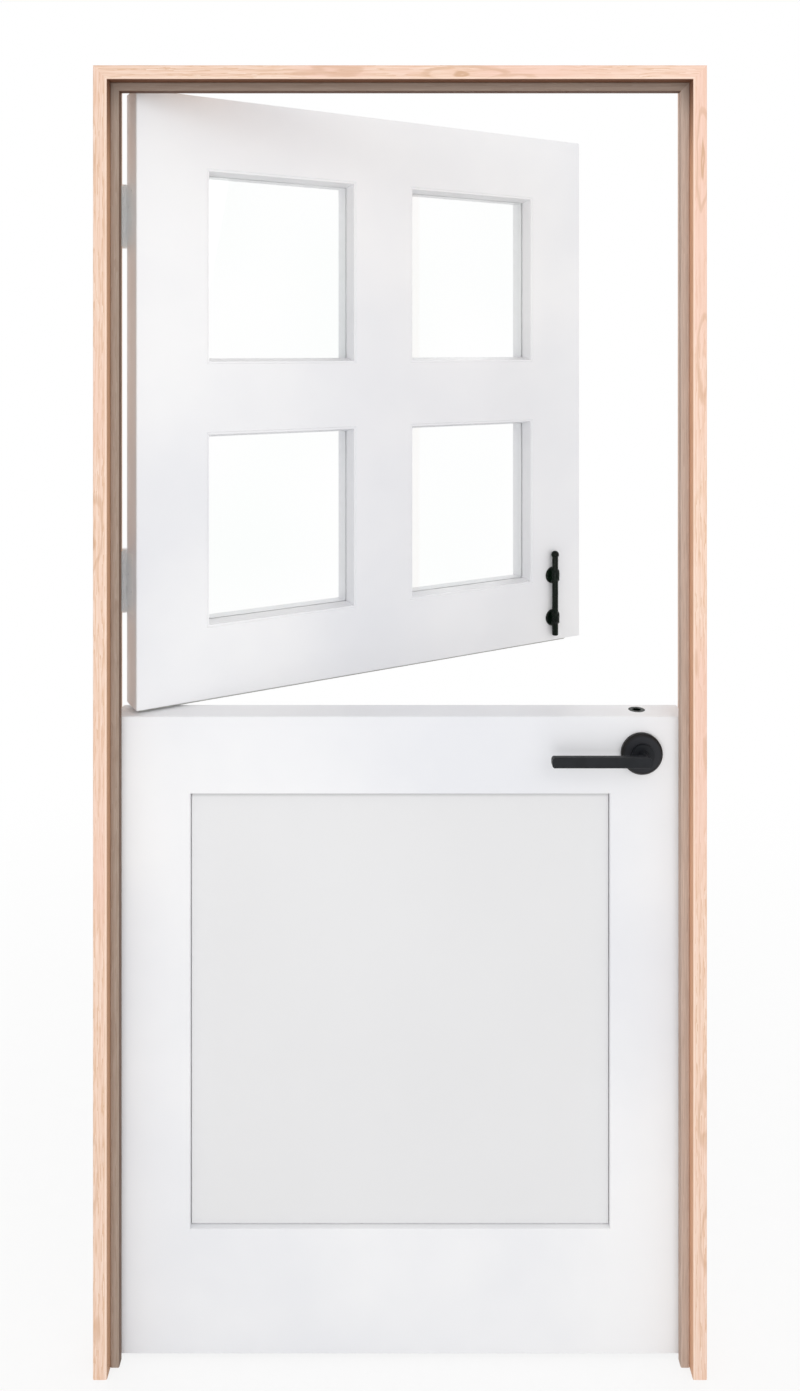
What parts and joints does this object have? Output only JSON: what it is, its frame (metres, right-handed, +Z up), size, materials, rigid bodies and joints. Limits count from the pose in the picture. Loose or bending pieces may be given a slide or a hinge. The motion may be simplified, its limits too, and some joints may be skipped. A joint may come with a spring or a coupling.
{
  "type": "dutch stable door",
  "caption": "Stable door in a timber frame: glazed upper leaf and panelled lower leaf swing on butt hinges, with a lever latch and a slide bolt that joins the leaves.",
  "frame": {"origin": "on the floor line, midway between the jambs, in the plane of the closed leaves' front faces", "axes": "+X across the doorway from the hinge side to the lock side, +Y towards the side the leaves open to, +Z up"},
  "size_m": [0.964, 0.5592, 2.063],
  "materials": {
    "white_paint": "satin white paint",
    "pine": "bare planed pine",
    "stained_pine": "brown stained pine",
    "black_metal": "satin black",
    "white_metal": "white powder coat",
    "satin_steel": "satin",
    "glass": "clear",
    "rubber_seal": "matte grey"
  },
  "bodies": {
    "frame": {"hinge_jamb": "pine", "strike_jamb": "pine", "head_jamb": "pine", "hinge_stop": "stained_pine", "strike_stop": "stained_pine", "head_stop": "stained_pine", "jamb_hinge_1": "white_metal", "jamb_hinge_2": "white_metal", "jamb_hinge_3": "white_metal", "jamb_hinge_4": "white_metal", "hinge_pins": "white_metal", "jamb_hinge_screws": "white_metal", "strike_plate": "black_metal", "strike_screws": "black_metal"},
    "upper_leaf": {"upper_hinge_stile": "white_paint", "upper_lock_stile": "white_paint", "upper_top_rail": "white_paint", "upper_bottom_rail": "white_paint", "upper_mullion": "white_paint", "hinge_side_cross_bar": "white_paint", "lock_side_cross_bar": "white_paint", "glass_1": "glass", "glass_2": "glass", "glass_3": "glass", "glass_4": "glass", "glazing_beads_1": "white_paint", "glazing_beads_2": "white_paint", "glazing_beads_3": "white_paint", "glazing_beads_4": "white_paint", "meeting_seal": "rubber_seal", "upper_leaf_hinge_1": "white_metal", "upper_leaf_hinge_2": "white_metal", "upper_hinge_screws": "white_metal", "lower_bolt_guide": "black_metal", "upper_bolt_guide": "black_metal"},
    "bolt": {"bolt_rod": "black_metal", "bolt_link": "black_metal", "bolt_shoot": "black_metal"},
    "lower_leaf": {"lower_hinge_stile": "white_paint", "lower_lock_stile": "white_paint", "lower_top_rail": "white_paint", "lower_bottom_rail": "white_paint", "lower_panel": "white_paint", "bolt_keeper": "black_metal", "lower_leaf_hinge_1": "white_metal", "lower_leaf_hinge_2": "white_metal", "lower_hinge_screws": "white_metal", "front_rose": "black_metal", "back_rose": "black_metal", "rose_bolts": "satin_steel", "latch_case": "satin_steel", "latch_faceplate": "black_metal", "faceplate_screws": "black_metal"},
    "lever": {"front_lever": "black_metal", "back_lever": "black_metal", "lever_spindle": "satin_steel", "latch_cam": "satin_steel"},
    "latch": {"latch_bolt": "satin_steel"}
  },
  "joints": [
    {"name": "upper_leaf_swing", "type": "hinge", "parent": "frame", "child": "upper_leaf", "pos_m": [-0.4585, 0.0646, 1.5], "axis": [0, 0, 1], "range_deg": [-30, 140]},
    {"name": "bolt_slide", "type": "slide", "parent": "upper_leaf", "child": "bolt", "axis": [0, 0, 1], "range_m": [-0.019, 0]},
    {"name": "lower_leaf_swing", "type": "hinge", "parent": "frame", "child": "lower_leaf", "pos_m": [-0.4585, 0.0646, 0.5], "axis": [0, 0, 1], "range_deg": [0, 170]},
    {"name": "lever_turn", "type": "hinge", "parent": "lower_leaf", "child": "lever", "pos_m": [0.387, 0.0285, 0.97], "axis": [0, -1, 0], "range_deg": [0, 55], "stiffness_Nm_per_rad": 0.8, "springref_deg": -45.84},
    {"name": "latch_retract", "type": "slide", "parent": "lower_leaf", "child": "latch", "axis": [-1, 0, 0], "range_m": [0, 0.0101]}
  ],
  "couplings": [
    {"joint": "latch_retract", "follows": "lever_turn", "m_per_rad": 0.0104}
  ]
}
